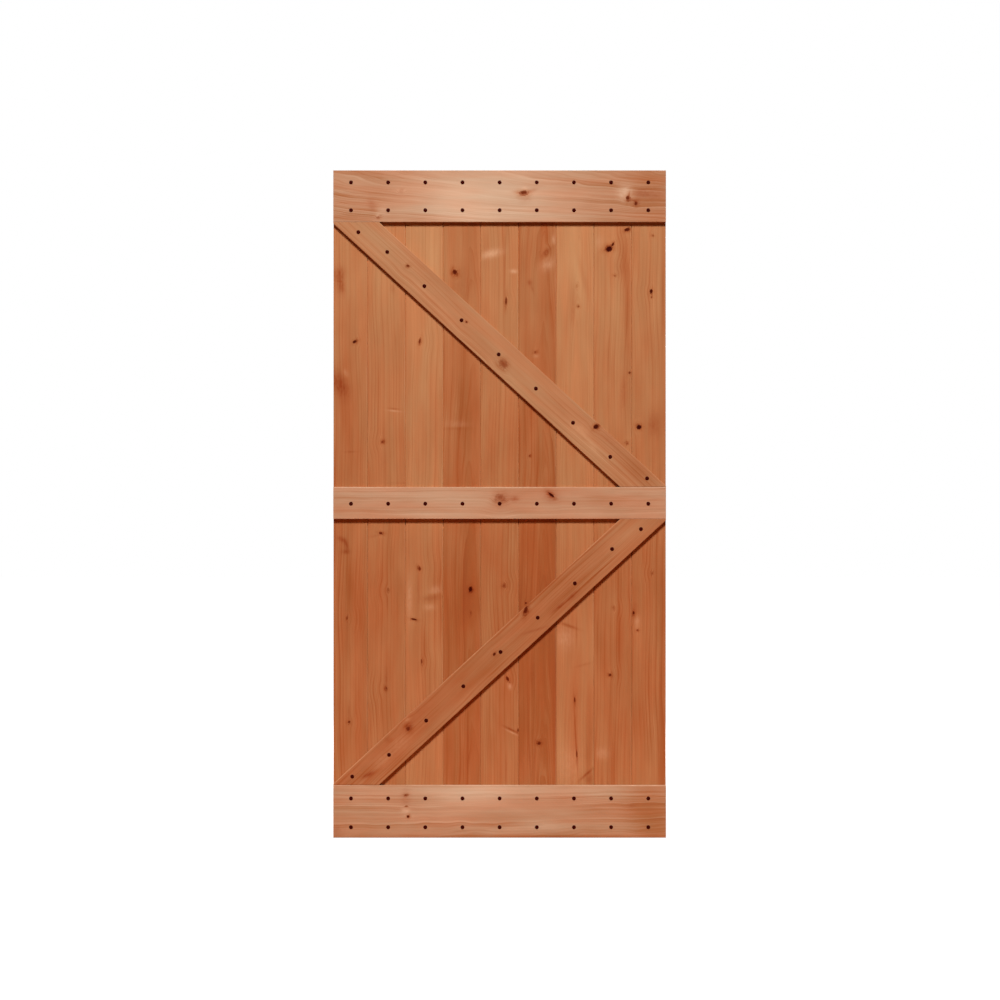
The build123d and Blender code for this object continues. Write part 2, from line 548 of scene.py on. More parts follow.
# %% [markdown]
# ## The grain
# A tree grows in thin coats round its pith, and each branch grows coats of its own. Seen on a sawn face,
# the coats are lines. They could be painted as stripes, but then they would run straight through every
# knot. Here a field gives each point the age of the wood there: its distance from the pith, or from the
# nearest branch where that is less. Lines of equal age then flow round the knots by themselves, and turn
# into arcs on the end of a plank. The fields are worked out for all points of a board at once and kept
# on its mesh as attributes.

# %% A board's own directions
def board_grain(name, along, middle, front, pith, wander, levels):
    """What a board's grain follows: direction, middle, front, where its pith runs, and painted light by
    height.
    """
    knot_rows = np.array(knots[name], float)
    mark_rows = np.array(marks[name], float)
    return {
        "along": np.array(along),
        "middle": np.array(middle),
        "front": front,
        "pith": pith,
        "wander": wander,
        "levels": np.array(levels, float),
        "knots": knot_rows,
        "marks": mark_rows,
        "spots": np.concatenate([knot_rows[:, :5], mark_rows[:, :5]]),
    }


def grain_places(grain, x, y, z):
    """Across, depth and along, in millimetres: the board's own directions, measured from its middle."""
    off_x = x / mm - grain["middle"][0]
    off_z = z / mm - grain["middle"][1]
    along = off_x * grain["along"][0] + off_z * grain["along"][1]
    across = off_x * grain["along"][1] - off_z * grain["along"][0]
    return across, (y - grain["front"]) / mm, along


long_wave = 190
short_wave = 67
short_share = 0.45


def from_pith(grain, across, depth, along):
    """Offsets from the pith, which leans and wanders gently along the board as two added sine waves."""
    pith_across, pith_depth, lean = grain["pith"]
    wave = np.sin(along / long_wave + pith_across) + short_share * np.sin(along / short_wave + pith_depth)
    return across - pith_across - grain["wander"] * wave, depth - pith_depth - lean * along


def ellipse(x, z, spots):
    """Offsets along both axes of each spot's turned ellipse, 1 at its edge: one row for each spot."""
    turn = np.radians(spots[:, 4, None])
    off_x = x[None, :] / mm - spots[:, 0, None]
    off_z = z[None, :] / mm - spots[:, 1, None]
    wide = (off_x * np.cos(turn) + off_z * np.sin(turn)) / (spots[:, 2, None] / 2)
    tall = (off_z * np.cos(turn) - off_x * np.sin(turn)) / (spots[:, 3, None] / 2)
    return wide, tall


# %% Fields of a board
knot_oval = 0.07
knot_lobes = 0.06
knot_reach_share = 0.9
branch_stretch = 1.7
halo_place_share = 1.7
halo_paleness = 0.22
heart_shift = 0.28
heart_least = 0.5
heart_gain = 0.45
broad_mark = 140
# Painted highlight along the edges: how wide it is, and how its strength swings along a board.
painted_edge_width = 2.4
painted_edge_mean = 0.6
painted_edge_swing = 0.4
painted_edge_wave = 85
phase_along = 10


def grain_fields(grain, points, edges):
    """The attributes of a board's points.

    grain is the place along the board's own directions. stem is the offset from the pith, with the age
    that the nearest branch gives: the age of the stem at its middle, less a reach, plus the reach times
    a distance in knot radii that counts less along the board. spot is the distance from the nearest knot,
    1 at its edge, with the darkness of its heart and rim. figure is how much lighter the wood is, with the
    painted light by height and the pale ends of knots, the distance from the off-centre heart, and the
    marks with the painted edge highlight. edges holds distances from the edges and the strength of the
    painted highlight along each, darker where it is below 0: a bell that is 1 on the edge is added,
    stronger and weaker along the board as a sine wave.
    """
    x, y, z = points.T
    across, depth, along = grain_places(grain, x, y, z)
    stem_across, stem_depth = from_pith(grain, across, depth, along)

    spots = grain["knots"]
    wide, tall = ellipse(x, z, spots)
    phase = spots[:, 0, None]
    angle = np.arctan2(tall, wide)
    uneven = knot_oval * np.sin(2 * angle + phase) + knot_lobes * np.sin(5 * angle + 2 * phase)
    away = np.hypot(wide, tall) * (1 + uneven)
    heart = np.hypot(wide - heart_shift * np.cos(phase), tall - heart_shift * np.sin(phase))
    heart = heart / (heart_least + heart_gain * spots[:, 5, None])
    centre = grain_places(grain, spots[:, 0] * mm, np.full(len(spots), grain["front"]), spots[:, 1] * mm)
    age = np.hypot(*from_pith(grain, *centre))[:, None]
    radius = np.sqrt(spots[:, 2] * spots[:, 3])[:, None] / 2
    off_along = along[None, :] - centre[2][:, None]
    off_across = across[None, :] - centre[0][:, None]
    lens = np.hypot(off_across, off_along / branch_stretch) / radius
    branch = (age + (lens - 1) * radius * knot_reach_share).min(axis=0)
    nearest = away.argmin(axis=0)
    heart = heart[nearest, np.arange(x.size)]

    ends = np.exp(-(((np.abs(off_along) - halo_place_share * radius) / radius) ** 2))
    halo = (halo_paleness * spots[:, 7, None] * ends * np.exp(-((off_across / radius) ** 2))).sum(axis=0)
    # Painted light by height on the planks, with the pale ends of knots added.
    light = halo + np.interp(z / mm, *grain["levels"].T)
    soft = grain["marks"]
    bells = soft[:, 5, None] * np.exp(-(np.hypot(*ellipse(x, z, soft)) ** 2))
    broad = soft[:, 2:4].max(axis=1) > broad_mark
    light += bells[broad].sum(axis=0)
    patch = bells[~broad].sum(axis=0)
    # Painted highlight along the edges, stronger and weaker along the board; below 0 the edge is darker.
    painted_edge_strength = painted_edge_mean + painted_edge_swing * np.sin(along / painted_edge_wave + phase[0])
    for distance, paleness in edges:
        patch += painted_edge_strength * paleness * np.exp(-((np.hypot(distance / mm, depth) / painted_edge_width) ** 2))

    return {
        "grain": np.stack([across + phase[0], depth, along + phase_along * phase[0]], axis=1),
        "stem": np.stack([stem_across, stem_depth, branch], axis=1),
        "spot": np.stack([away.min(axis=0), spots[nearest, 5], spots[nearest, 6]], axis=1),
        "figure": np.stack([light, heart, patch], axis=1),
    }


# %% [markdown]
# ## The wood's finish
# The door is clear-finished softwood: warm orange planks, paler and pinker rails, and braces between the
# two. One graph serves all of them. It turns the age of the wood into bands and rings, lays long fibres
# over them, and colours the knots. A kind of board has its own four colours, from dark to pale, and its
# own strength of lines, and each board has a tone between them. So the boards look like timber of one
# delivery.

# %% Fibres and age
fibre_sizes = {
    "slow_waver": (26, 240, 1.0),
    "quick_waver": (50, 90, 1.0),
    "fibre": (1.3, 60, 3.0),
    "streak": (7, 700, 2.0),
    "group": (40, 450, 1.0),
    "shading": (55, 240, 2.0),
    "drift": (38, 300, 2.0),
    "cloud": (7, 16, 2.0),
    "rag": (3.2, 5.0, 3.0),
    "bark": (9, 14, 1.0),
    "heart": (2.2, 3.5, 2.0),
}
slow_waver = 6.0
branch_rounding = 9.0


def fibres(places, name):
    """Noise about 0, drawn out along the grain: spots of a named width and length in millimetres."""
    width, length, detail = fibre_sizes[name]
    stretch = (1 / width, 1 / width, 1 / length)
    long_places = flow(places.tree, "VectorMath", {0: places, 1: stretch}, operation="MULTIPLY")
    return flow(places.tree, "TexNoise", {"Vector": long_places, "Scale": 1.0, "Detail": detail}) - 0.5


def bands(age, width):
    """Noise about 0 along the age of the wood alone, so that it follows the rings."""
    sockets = {"W": age / width, "Scale": 1.0, "Detail": 2.0}
    return flow(age.tree, "TexNoise", sockets, noise_dimensions="1D") - 0.5


def ridges(age, width, power):
    """One ridge for each width of age, with a sharp end: the fraction of age / width, raised to a power."""
    return (age / width).maths("FRACT") ** power


def attribute(tree, name):
    """A point attribute of the mesh, as a vector."""
    return flow(tree, "Attribute", output="Vector", attribute_name=name)


def parts(vector):
    """The three numbers in a vector."""
    return [Flow(vector.tree, socket) for socket in node(vector.tree, "SeparateXYZ", {0: vector}).outputs]


def wood_age(places, waver):
    """Age of the wood from the attribute stem: distance from the pith or branch, with some waver."""
    stem = attribute(places.tree, "stem")
    flat = flow(places.tree, "VectorMath", {0: stem, 1: (1, 1, 0)}, operation="MULTIPLY")
    distance = flow(places.tree, "VectorMath", {0: flat}, "Value", operation="LENGTH")
    stem_age = distance + fibres(places, "slow_waver") * slow_waver + fibres(places, "quick_waver") * waver
    return stem_age.maths("SMOOTH_MIN", parts(stem)[2], branch_rounding)


# %% Tone of the plain wood
fine_band = 1.7
broad_band = 8.0
ring_width = 3.4
ring_power = 5.0
line_width = 9.0
line_power = 6.0
uneven_band = 30
uneven_reach = 16.0
broad_weight = 0.45
fine_weight = 0.35
streak_weight = 0.3
fibre_weight = 0.16
shading_weight = 0.6
group_fade = (-0.2, 0.2)
group_least = 0.2
knot_group_fade = (2.5, 1.2)
darkening = -1.8
drift_fade = (-0.22, 0.22)
warm_tint = (1.03, 0.94, 0.9, 1)
cool_tint = (0.97, 1.04, 1.06, 1)


def wood_tone(kind, tone, places, age, away, light):
    """Colour of the plain wood, and the fibre, bands and rings in it. Lines come in groups and at knots."""
    fibre = fibres(places, "fibre")
    fine = bands(age, fine_band)
    ring = ridges(age, ring_width, ring_power)
    line = ridges(bands(age, uneven_band) * uneven_reach + age, line_width, line_power)
    lines = bands(age, broad_band) * broad_weight + fine * fine_weight + kind["rings"] / (ring_power + 1)
    lines = lines - ring * kind["rings"] - line * kind["lines"] + fibres(places, "streak") * streak_weight
    group = fade(fibres(places, "group"), *group_fade) * (1 - group_least) + group_least
    group = group.maths("MAXIMUM", fade(away, *knot_group_fade))
    shading = fibre * fibre_weight + fibres(places, "shading") * shading_weight
    # light carries the painted light: by height on the planks and inside their joints.
    lightness = lines * group + tone + shading + light
    shade = blend(lightness.maths("MAXIMUM", 0.0), kind["deep"], kind["light"], clamp=False)
    shade = blend(lightness * darkening, shade, kind["dark"])
    tint = blend(fade(fibres(places, "drift"), *drift_fade), warm_tint, cool_tint)
    shade = flow(tint.tree, "VectorMath", {0: shade, 1: tint}, operation="MULTIPLY")
    return shade, fibre, fine, ring


# %% [markdown]
# Knots and dark patches are stains. They darken by multiplying, because finish soaks in and leaves the
# grain showing. A knot has a soft brown surround, a browner rim, broken bark round it and a dark heart, and
# noise makes all of these ragged. A pair gives where a stain begins and is full, in knot radii.

# %% Stains and knots
surround = ((3.0, 0.8), (0.82, 0.6, 0.46))
rim = ((1.3, 0.7), (0.7, 0.46, 0.32))
bark_start = (0.6, 0.9)
bark_end = (1.3, 1.0)
bark_breaks = (-0.14, 0.1)
bark_stain = (0.58, 0.34, 0.22)
heart_fade = (1.1, 0.65)
heart_stain = (0.62, 0.34, 0.2)
heart_colour = colour(56, 3, 0)
edge_rag = 1.5
heart_rag = 1.3
pale_knot_share = 0.3
heart_stain_share = 1.6


def stained(share, shade, filter_colour):
    """A colour seen through a stain, which takes its own part of red, green and blue, as a glaze does."""
    return blend(share, shade, (*filter_colour, 1), "MULTIPLY")


def knot_shade(shade, places, cloud, heart_away, away, dark, brown):
    """A colour with the knots laid over it, and the share of dark heart."""
    ragged = fibres(places, "rag") * edge_rag + away
    strength = brown * (dark * (1 - pale_knot_share) + pale_knot_share)
    for reach, stain in (surround, rim):
        shade = stained(fade(ragged, *reach) * strength * cloud, shade, stain)
    bark = fade(ragged, *bark_start) * fade(ragged, *bark_end) * fade(fibres(places, "bark"), *bark_breaks)
    shade = stained(bark * strength, shade, bark_stain)
    inside = fade(fibres(places, "heart") * heart_rag + heart_away, *heart_fade)
    shade = stained(inside * dark * heart_stain_share, shade, heart_stain)
    heart = inside * dark * dark
    return blend(heart, shade, heart_colour), heart


# %% Wood
cloud_depth = 1.6
patch_stain = (0.72, 0.44, 0.32)
end_fade = (0.6, 0.9)
end_stain = (0.66, 0.6, 0.55)
wood_gloss = 0.04
wood_roughness = 0.5
fibre_roughness = 0.25
fibre_relief = 0.7
band_relief = 0.4
ring_relief = 0.25
heart_relief = 0.6
bump_height = 0.3 * mm
bump_strength = 0.5


def wood(name, kind, tone, along):
    """Clear-finished wood of a kind, at a tone between its two colours, with the grain along a direction."""
    material, tree, surface = new_material(name)
    places = attribute(tree, "grain")
    light, heart_away, patch = parts(attribute(tree, "figure"))
    spot = parts(attribute(tree, "spot"))
    age = wood_age(places, kind["waver"])
    shade, fibre, fine, ring = wood_tone(kind, tone, places, age, spot[0], light)

    cloud = fibres(places, "cloud") * cloud_depth + 1.0
    # Short marks, and the painted highlight along the edges, turn the wood towards its pale colour. Dark
    # marks, finish gathered in the joints and darker painted edges stain it.
    shade = blend(patch.maths("MAXIMUM", 0.0) * cloud, shade, kind["pale"])
    shade = stained((patch * -1.0).maths("MAXIMUM", 0.0) * cloud, shade, patch_stain)
    shade, heart = knot_shade(shade, places, cloud, heart_away, *spot)
    normal = flow(tree, "NewGeometry", output="Normal")
    facing = flow(tree, "VectorMath", {0: normal, 1: along}, "Value", operation="DOT_PRODUCT")
    shade = stained(fade(facing.maths("ABSOLUTE"), *end_fade), shade, end_stain)

    relief = fibre * fibre_relief + fine * band_relief + ring * ring_relief - heart * heart_relief
    sockets = {"Strength": bump_strength, "Distance": bump_height, "Height": relief}
    put_in(surface, flow(tree, "BsdfPrincipled", {
        "Base Color": shade,
        "Roughness": fibre * fibre_roughness + wood_roughness,
        "Specular IOR Level": wood_gloss,
        "Normal": flow(tree, "Bump", sockets),
    }))
    return material


# %% [markdown]
# ## Meshes from arrays
# Every surface here is a grid of points. Where a board is plain, a coarse grid is enough. Near a knot the
# lines of the grid crowd together, so that its hollow and its colours have points to sit on. This costs
# far fewer faces than a fine grid all over.

# %% Grid helpers
count_places = 6000
spot_reach = 0.9
spot_margin = 3 * mm
chord_share = 0.17


def crowd(low, high, step, spots):
    """Places from low to high, a step apart, closer near the spots.

    The number of lines per metre is 1 / step, raised near each spot by a bell of its reach. Its running
    sum counts the lines, and the places are where that count reaches whole shares of itself.
    """
    fine = np.linspace(low, high, count_places)
    density = np.full(fine.size, 1 / step)
    for middle, reach, spacing in spots:
        density = np.maximum(density, np.exp(-(((fine - middle) / reach) ** 4)) / spacing)
    count = np.concatenate([[0], np.cumsum((density[1:] + density[:-1]) / 2 * np.diff(fine))])
    whole = max(2, math.ceil(count[-1]))
    return np.interp(np.linspace(0, count[-1], whole + 1), count, fine)


def close_spots(rows, shear, finest):
    """Where grid lines crowd round leaning ellipses: for columns and for rows, places, reaches and spacings.

    The reach covers the extent of the ellipse along an axis. The spacing is a share of its chord along that
    axis, so thin marks get close lines. shear is how far a column moves sideways for each step up.
    """
    turn = np.radians(rows[:, 4])
    cos = np.cos(turn)
    sin = np.sin(turn)
    wide = rows[:, 2] * mm
    tall = rows[:, 3] * mm
    reach_x = spot_reach * np.hypot(wide * (cos - shear * sin), tall * (sin + shear * cos)) + spot_margin
    reach_z = spot_reach * np.hypot(wide * sin, tall * cos) + spot_margin
    chord_x = chord_share / np.hypot(cos / wide, sin / tall)
    chord_z = chord_share / np.hypot((shear * cos + sin) / wide, (cos - shear * sin) / tall)
    columns = np.stack([rows[:, 0] * mm, reach_x, np.maximum(chord_x, finest)], axis=1)
    lines = np.stack([rows[:, 1] * mm, reach_z, np.maximum(chord_z, finest)], axis=1)
    return columns, lines


def quads(index):
    """Faces between neighbouring points of a grid of point numbers, or of several such grids."""
    corners = (index[..., :-1, :-1], index[..., :-1, 1:], index[..., 1:, 1:], index[..., 1:, :-1])
    return np.stack(corners, axis=-1).reshape(-1, 4)


# %% Pieces and knots
hollow_depth = 0.55 * mm
hollow_narrowness = 1.4
ring_depth = 0.14 * mm
ring_place = 1.5
ring_spread = 0.5


def add_piece(cad_node, ending, material, points, faces, fields, sharp_angle):
    """A mesh at the origin in place of a CAD node, with point attributes, smooth but for sharper edges."""
    name = f"{cad_node}_{ending}"
    mesh = bpy.data.meshes.new(name)
    mesh.from_pydata(points.tolist(), [], faces)
    for key, values in fields.items():
        attribute_data = mesh.attributes.new(key, "FLOAT_VECTOR", "POINT").data
        attribute_data.foreach_set("vector", values.astype(np.float32).ravel())
    mesh.shade_smooth()
    mesh.set_sharp_from_angle(angle=math.radians(sharp_angle))
    mesh.materials.append(material)
    piece = bpy.data.objects.new(name, mesh)
    bpy.context.collection.objects.link(piece)
    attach(piece, "root")
    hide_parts(cad_node)
    print(name, "faces:", len(faces))


def knot_hollow(spot):
    """How deep a knot lies below the face: a bell at its heart, less a ring that keeps its rim level."""
    away, dark, _ = spot.T
    hollow = hollow_depth * np.exp(-hollow_narrowness * away**2)
    ring = ring_depth * np.exp(-(((away - ring_place) / ring_spread) ** 2))
    return np.maximum(dark * (hollow - ring), 0)


# %% [markdown]
# ## Planks
# Each plank is one moulding as it comes from the planer: a tongue on one edge, a groove on the other, and
# a small bevel on each face edge. The planks stand a little apart, so each joint shows as a thin line with
# the tongue deep inside it. The section is the same all the way up, so it is drawn once and carried up the
# door. Its corners are eased a little, as sanding and finish leave them. The knots then press into the
# front. Finish has gathered in the joints, so the wood inside them is a warmer brown; it is also made much
# lighter there, which is painted light that lifts the shade in the gaps. The planks are made lighter towards
# the top and again near the foot: painted light by height.

# %% Corners of a plank
plank_bevel = 0.5 * mm
door_edge_ease = 1.0 * mm
tongue_length = 8.0 * mm
tongue_thickness = 6.35 * mm
groove_depth = 7.2 * mm
groove_width = 6.65 * mm
corner_ease = 0.25 * mm
plank_middle = (plank_front + plank_back) / 2


def notch(edge, reach, thickness):
    """Four corners of a tongue, or of a groove when taken backwards, that reaches to the right of an edge."""
    low = plank_middle - thickness / 2
    high = plank_middle + thickness / 2
    return [(edge, low), (edge + reach, low), (edge + reach, high), (edge, high)]


def plank_corners(left, right, first, last):
    """Corners of the section, anticlockwise from above: front, right edge, back, left edge."""
    ease_left = door_edge_ease if first else plank_bevel
    ease_right = door_edge_ease if last else plank_bevel
    front = [(left + ease_left, plank_front), (right - ease_right, plank_front)]
    back = [(right - ease_right, plank_back), (left + ease_left, plank_back)]
    tongue = [] if last else notch(right, tongue_length, tongue_thickness)
    groove = [] if first else notch(left, groove_depth, groove_width)[::-1]
    right_edge = [(right, plank_front + ease_right), *tongue, (right, plank_back - ease_right)]
    left_edge = [(left, plank_back - ease_left), *groove, (left, plank_front + ease_left)]
    return np.array(front + right_edge + back + left_edge), len(front) + len(right_edge)


def eased(corners):
    """Each corner as three points of a small curve: before it, half way to it, and after it."""
    ahead = np.roll(corners, -1, axis=0) - corners
    ahead /= np.linalg.norm(ahead, axis=1)[:, None]
    before = corners - corner_ease * np.roll(ahead, 1, axis=0)
    after = corners + corner_ease * ahead
    return np.stack([before, (before + 2 * corners + after) / 4, after], axis=1)


# %% Section of a plank
front_step = 5 * mm
back_step = 9 * mm
finest_spacing = 1.8 * mm
edge_reach = 5 * mm
edge_spacing = 1.6 * mm
back_spots = 4


def plank_section(grain, left, right, first, last):
    """Section points with the faces divided, and how much each is pressed in by the knots: y per unit."""
    corners, back_start = plank_corners(left, right, first, last)
    curves = eased(corners)
    near = [*close_spots(grain["spots"], 0, finest_spacing)[0]]
    near += [(edge, edge_reach, edge_spacing) for edge in (left, right)]
    split = back_start + 1
    front_x = crowd(curves[0, 2, 0], curves[1, 0, 0], front_step, near)[1:-1]
    back_x = crowd(curves[split, 0, 0], curves[back_start, 2, 0], back_step, near[:back_spots])[-2:0:-1]
    front = np.stack([front_x, np.full(front_x.size, plank_front)], axis=1)
    back = np.stack([back_x, np.full(back_x.size, plank_back)], axis=1)
    between = curves[1:split].reshape(-1, 2)
    section = np.concatenate([curves[0], front, between, back, curves[split:].reshape(-1, 2)])
    press = np.zeros(len(section))
    front_place = len(curves[0])
    back_place = front_place + len(front) + len(between)
    press[front_place:front_place + len(front)] = 1
    press[back_place:back_place + len(back)] = -1
    return section, press


# %% Planks along the door
plank_kind = {
    "dark": colour(147, 71, 35),
    "deep": colour(167, 93, 50),
    "light": colour(207, 150, 103),
    "pale": colour(224, 172, 132),
    "lines": 0.28,
    "rings": 0.16,
    "waver": 1.5,
}
plank_tones = [-0.03, 0.03, 0.15, -0.14, 0.0, -0.22, 0.18, 0.03, 0.02]
# A painted highlight along a plank's right edge, and a darker band along its left edge.
plank_painted_edges = (-0.25, 0.22)
plank_wander = 5.0
plank_row_step = 16 * mm
finest_row = 2.2 * mm
plank_sharp_angle = 35
joint_start = 1.0 * mm
joint_painted_light = 2.0
joint_stain = 1.5
# Painted light by height: the planks are made lighter towards the top and again near the foot, where the lamp
# above and the floor below light them most.
plank_painted_light = [
    (0, 0.36),
    (220, 0.34),
    (400, 0.26),
    (600, 0.24),
    (800, 0.19),
    (960, 0.3),
    (1200, 0.36),
    (1400, 0.42),
    (1600, 0.48),
    (1800, 0.56),
    (2134, 0.56),
]
plank_piths = [
    (-150, 60, 0.0),
    (95, 45, 0.004),
    (-70, 50, -0.004),
    (30, 90, 0.012),
    (-95, 40, 0.003),
    (20, 75, 0.016),
    (4, 34, 0.012),
    (-110, 55, 0.0),
    (120, 70, 0.005),
]


def make_plank(number):
    """One plank: its section carried from the bottom to the top, with both ends closed."""
    name = f"plank_{number}"
    low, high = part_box(name)
    first = number == 1
    last = number == plank_count
    left = low.x
    right = high.x - (0 if last else tongue_length)
    middle = ((left + right) / 2 / mm, door_top / 2 / mm)
    pith = plank_piths[number - 1]
    grain = board_grain(name, (0, 1), middle, plank_front, pith, plank_wander, plank_painted_light)
    section, press = plank_section(grain, left, right, first, last)
    rows = crowd(low.z, high.z, plank_row_step, close_spots(grain["spots"], 0, finest_row)[1])

    points = np.empty((rows.size, len(section), 3))
    points[:, :, :2] = section
    points[:, :, 2] = rows[:, None]
    flat = points.reshape(-1, 3)
    x, y, _ = flat.T
    fields = grain_fields(grain, flat, [(x - left, plank_painted_edges[0]), (right - x, plank_painted_edges[1])])
    # Inside the joints the wood is made much lighter, painted light that lifts the shade in the gap, and
    # warmer through the finish gathered there.
    in_joint = (y > plank_front + joint_start) & (y < plank_back - joint_start)
    in_joint &= (x > -door_half + joint_start) & (x < door_half - joint_start)
    fields["figure"][:, 0] += joint_painted_light * in_joint
    fields["figure"][:, 2] -= joint_stain * in_joint
    flat[:, 1] += np.tile(press, rows.size) * knot_hollow(fields["spot"])

    index = np.arange(rows.size * len(section)).reshape(rows.size, -1)
    faces = quads(np.concatenate([index, index[:, :1]], axis=1)).tolist()
    faces += [index[0, ::-1].tolist(), index[-1].tolist()]
    finish = wood(f"{name}_wood", plank_kind, plank_tones[number - 1], (0, 0, 1))
    add_piece(name, "oiled", finish, flat, faces, fields, plank_sharp_angle)


for number in range(1, plank_count + 1):
    make_plank(number)

# %% [markdown]
# ## Rails and braces
# The boards on the front are plain planed stock with the front edges eased. A rail is a rectangle. A
# brace runs from corner to corner of its field, with its tips cut to the rails. Both are sheets between a
# left and a right edge that are known at every height, so one function makes all five. The sheet's border
# bends back over the eased edge and down the side.

# %% A board as a bent sheet
board_ease = 1.2 * mm
board_thickness = plank_front - board_front
round_in = (1 - math.cos(math.pi / 4)) * board_ease


def bordered(inner):
    """Shares across a board with its borders: inset from the first edge, share of the way, and drop."""
    inset = [0, 0, round_in, *([board_ease] * inner.size), 2 * board_ease - round_in, *([2 * board_ease] * 2)]
    share = [0, 0, 0, *inner, 1, 1, 1]
    drop = [board_thickness, board_ease, round_in, *([0] * inner.size), round_in, board_ease, board_thickness]
    return np.array(inset), np.array(share), np.array(drop)


def board_sheet(left, right, low, high, row_shares, column_shares, slant):
    """Points of a board: rows of constant height between its left and right edges, dropped at the border.

    A point's x is the left edge, plus the inset, plus its share of the width that is left; its height is
    worked out the same way, and it lies behind the front by the larger of its two drops. slant is how
    much wider an inset is along a row than square to a sloping edge.
    """
    row_inset, row_share, row_drop = bordered(row_shares)
    inset, share, drop = bordered(column_shares)
    z = low + row_inset + row_share * (high - low - 2 * board_ease)
    start = left(z)[:, None]
    width = right(z)[:, None] - start
    x = start + slant * inset + share * (width - 2 * slant * board_ease)
    y = board_front + np.maximum(row_drop[:, None], drop[None, :])
    points = np.stack([x, y, np.broadcast_to(z[:, None], x.shape)], axis=-1)
    on_face = (row_drop[:, None] + drop[None, :]) == 0
    return points, on_face


def board_faces(rows, columns):
    """Faces of the sheet and its back. At each corner three grid points are one, so they share a number."""
    index = np.arange(rows * columns).reshape(rows, columns)
    for row, beside in ((0, 1), (-1, -2)):
        for column, next_to in ((0, 1), (-1, -2)):
            index[row, next_to] = index[row, column]
            index[beside, column] = index[row, column]
    sheet = quads(index)
    whole = (sheet != np.roll(sheet, 1, axis=1)).all(axis=1)
    border = [*index[0], *index[1:, -1], *index[-1, -2::-1], *index[-2:0:-1, 0]]
    back = list(dict.fromkeys(int(number) for number in border))
    return sheet[whole], back[::-1]


# %% [markdown]
# Each board has a kind of wood, a tone, the place of its pith with its lean, and how strong a painted
# highlight lies along each of its four edges, darker where below 0: left, right, bottom and top.

# %% Kinds of rails and braces
rail_kind = {
    "dark": colour(150, 78, 44),
    "deep": colour(174, 109, 68),
    "light": colour(227, 190, 159),
    "pale": colour(229, 192, 161),
    "lines": 0.21,
    "rings": 0.21,
    "waver": 6.0,
}
# The bottom rail's copy of the rail colours is painted less red, to cancel the warm light that the floor
# sheet throws up onto it.
bottom_kind_against_sheet_light = {**rail_kind, "deep": colour(171, 112, 71), "light": colour(223, 194, 165)}
brace_kind = {
    "dark": colour(144, 68, 35),
    "deep": colour(165, 92, 49),
    "light": colour(209, 161, 119),
    "pale": colour(222, 168, 125),
    "lines": 0.15,
    "rings": 0.13,
    "waver": 2.5,
}
boards = {
    "top_rail": (rail_kind, 0.26, (-130, 240, -0.05), (0, 0, 0.2, -0.2)),
    "mid_rail": (rail_kind, 0.36, (-150, 120, 0.01), (0, 0, 0.2, 0.7)),
    "bottom_rail": (bottom_kind_against_sheet_light, 0.29, (140, 220, -0.01), (0, 0, 0.2, 0.7)),
    "upper_brace": (brace_kind, 0.5, (-80, 60, 0.005), (0, 0.2, 0, 0)),
    "lower_brace": (brace_kind, 0.22, (60, 50, -0.006), (0.45, 0.1, 0, 0)),
}
print("boards:", *boards)

# %% One board
board_step = 7 * mm
board_wander = 3.0
board_sharp_angle = 50


def heights(name):
    """Lowest and highest level of a CAD node."""
    low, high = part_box(name)
    return low.z, high.z


def make_board(name, along, slant, left, right, slot):
    """One rail or brace, with the grain along its length and the knots pressed into its front."""
    kind, tone, pith, painted_edges = boards[name]
    low, high = heights(name)
    middle = (0, (low + high) / 2 / mm)
    grain = board_grain(name, along, middle, board_front, pith, board_wander, [(0, 0)])
    shared = grain["spots"].copy()
    at_z = shared[:, 1] * mm
    widths = right(at_z) - left(at_z)
    width = float(widths.max())
    shared[:, 0] = (shared[:, 0] * mm - left(at_z)) / widths * width / mm
    shear = along[0] / along[1] if along[1] else 0
    near_columns, near_rows = close_spots(shared, shear, finest_spacing)
    near_rows = [*near_rows, *[(edge, edge_reach, edge_spacing) for edge in (low, high)]]
    near_columns = [*near_columns, *[(edge, edge_reach, edge_spacing) for edge in (0, width)]]
    row_shares = (crowd(low, high, board_step, near_rows) - low) / (high - low)
    column_shares = crowd(0, width, board_step, near_columns) / width

    points, on_face = board_sheet(left, right, low, high, row_shares, column_shares, slant)
    flat = points.reshape(-1, 3)
    x, _, z = flat.T
    distances = [(x - left(z)) / slant, (right(z) - x) / slant, z - low, high - z]
    fields = grain_fields(grain, flat, zip(distances, painted_edges))
    flat[:, 1] += on_face.ravel() * knot_hollow(fields["spot"])

    sheet, back = board_faces(*on_face.shape)
    used = np.unique(np.concatenate([sheet.ravel(), back]))
    number = np.zeros(flat.shape[0], int)
    number[used] = np.arange(used.size)
    faces = number[sheet].tolist() + [number[back].tolist()]
    fields = {key: values[used] for key, values in fields.items()}
    finish = wood(f"{name}_wood", kind, tone, (along[0], 0, along[1]))
    add_piece(name, "oiled", finish, flat[used], faces, fields, board_sharp_angle)


def sloping_edges(side, slope, middle_z, half_width):
    """Functions for the left and right edge at any height: sloping lines that stop at the door's sides."""

    def left(z):
        """The left edge at a height."""
        return np.maximum(side * (z - middle_z) / slope - half_width, -door_half)

    def right(z):
        """The right edge at a height."""
        return np.minimum(side * (z - middle_z) / slope + half_width, door_half)

    return left, right


# %% [markdown]
# A rail's edges are the sides of the door, so its lines lie as far out as they like. The slope of a brace
# follows from its width: its tips have to fill two opposite corners of the field.

# %% Rails and braces in place
brace_width = 102.0 * mm
brace_heel = 4.0 * mm
brace_head_side = {"upper_brace": -1, "lower_brace": 1}


